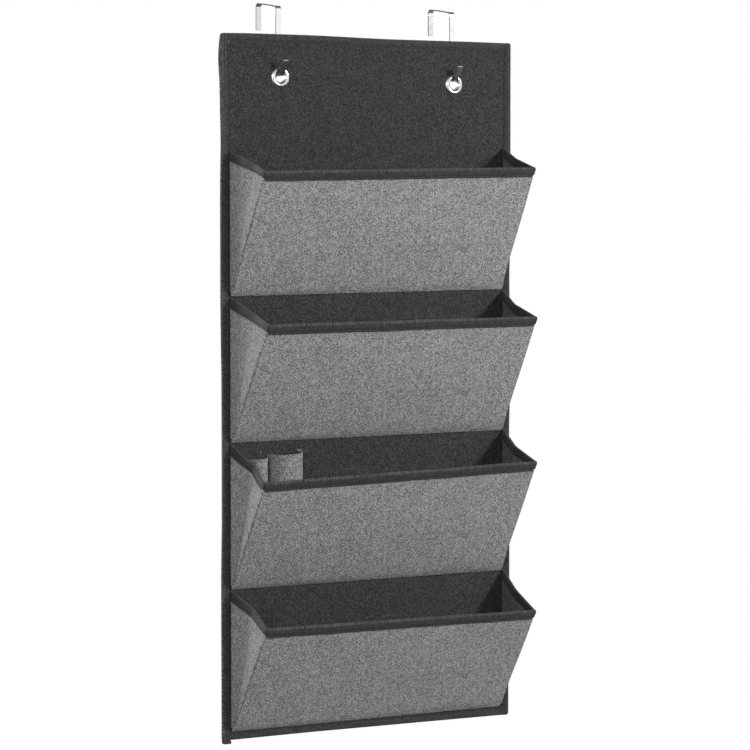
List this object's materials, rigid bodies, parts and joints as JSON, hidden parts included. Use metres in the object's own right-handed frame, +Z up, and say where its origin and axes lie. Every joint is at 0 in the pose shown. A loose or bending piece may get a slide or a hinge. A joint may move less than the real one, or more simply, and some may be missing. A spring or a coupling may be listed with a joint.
{
  "type": "hanging file organizer",
  "caption": "Over-the-door cloth file organizer with cascading gusseted pockets, bound edges and flat metal door hooks.",
  "frame": {"origin": "middle of the door's top front edge, where the front bends of both hooks bear", "axes": "+X to the right seen from the front, +Y into the door, +Z up"},
  "size_m": [0.368, 0.1306, 0.8058],
  "materials": {
    "panel_cloth": "dark grey plain weave",
    "pocket_cloth": "grey heathered weave",
    "edge_tape": "dark grosgrain tape, stitched",
    "stiffener": "hidden stiffening sheet",
    "eyelet_metal": "polished nickel plate",
    "hook_metal": "bright plated strip"
  },
  "bodies": {
    "panel": {"panel_cover_front": "panel_cloth", "panel_board": "stiffener", "panel_cover_back": "panel_cloth", "binding_top": "edge_tape", "binding_bottom": "edge_tape", "binding_left": "edge_tape", "binding_right": "edge_tape", "grommet_left": "eyelet_metal", "grommet_right": "eyelet_metal", "grommet_washer_left": "eyelet_metal", "grommet_washer_right": "eyelet_metal", "pen_sleeve_narrow": "pocket_cloth", "pen_sleeve_wide": "pocket_cloth", "gusset_left_1": "pocket_cloth", "gusset_right_1": "pocket_cloth", "gusset_binding_left_1": "edge_tape", "gusset_binding_right_1": "edge_tape", "gusset_left_2": "pocket_cloth", "gusset_right_2": "pocket_cloth", "gusset_binding_left_2": "edge_tape", "gusset_binding_right_2": "edge_tape", "gusset_left_3": "pocket_cloth", "gusset_right_3": "pocket_cloth", "gusset_binding_left_3": "edge_tape", "gusset_binding_right_3": "edge_tape", "gusset_left_4": "pocket_cloth", "gusset_right_4": "pocket_cloth", "gusset_binding_left_4": "edge_tape", "gusset_binding_right_4": "edge_tape"},
    "pocket_1": {"pocket_front_1": "pocket_cloth", "pocket_board_1": "stiffener", "pocket_lining_1": "panel_cloth", "pocket_rim_1": "edge_tape"},
    "pocket_2": {"pocket_front_2": "pocket_cloth", "pocket_board_2": "stiffener", "pocket_lining_2": "panel_cloth", "pocket_rim_2": "edge_tape"},
    "pocket_3": {"pocket_front_3": "pocket_cloth", "pocket_board_3": "stiffener", "pocket_lining_3": "panel_cloth", "pocket_rim_3": "edge_tape"},
    "pocket_4": {"pocket_front_4": "pocket_cloth", "pocket_board_4": "stiffener", "pocket_lining_4": "panel_cloth", "pocket_rim_4": "edge_tape"},
    "hook_left": {"hook_left": "hook_metal"},
    "hook_right": {"hook_right": "hook_metal"}
  },
  "joints": [
    {"name": "pocket_1_fold", "type": "hinge", "parent": "panel", "child": "pocket_1", "pos_m": [0, -0.00775, -0.30962], "axis": [1, 0, 0], "range_deg": [-24, 0], "deforming": ["gusset_left_1", "gusset_right_1", "gusset_binding_left_1", "gusset_binding_right_1"]},
    {"name": "pocket_2_fold", "type": "hinge", "parent": "panel", "child": "pocket_2", "pos_m": [0, -0.00775, -0.4679], "axis": [1, 0, 0], "range_deg": [-26.6, 0], "deforming": ["gusset_left_2", "gusset_right_2", "gusset_binding_left_2", "gusset_binding_right_2"]},
    {"name": "pocket_3_fold", "type": "hinge", "parent": "panel", "child": "pocket_3", "pos_m": [0, -0.00775, -0.62871], "axis": [1, 0, 0], "range_deg": [-25.3, 0], "deforming": ["gusset_left_3", "gusset_right_3", "gusset_binding_left_3", "gusset_binding_right_3", "pen_sleeve_narrow", "pen_sleeve_wide"]},
    {"name": "pocket_4_fold", "type": "hinge", "parent": "panel", "child": "pocket_4", "pos_m": [0, -0.00775, -0.7825], "axis": [1, 0, 0], "range_deg": [-28.4, 0], "deforming": ["gusset_left_4", "gusset_right_4", "gusset_binding_left_4", "gusset_binding_right_4"]},
    {"name": "hook_left_swing", "type": "hinge", "parent": "panel", "child": "hook_left", "pos_m": [-0.11, -0.0058, -0.07103], "axis": [1, 0, 0], "range_deg": [-34, 0]},
    {"name": "hook_right_swing", "type": "hinge", "parent": "panel", "child": "hook_right", "pos_m": [0.11, -0.0058, -0.07103], "axis": [1, 0, 0], "range_deg": [-34, 0]}
  ]
}
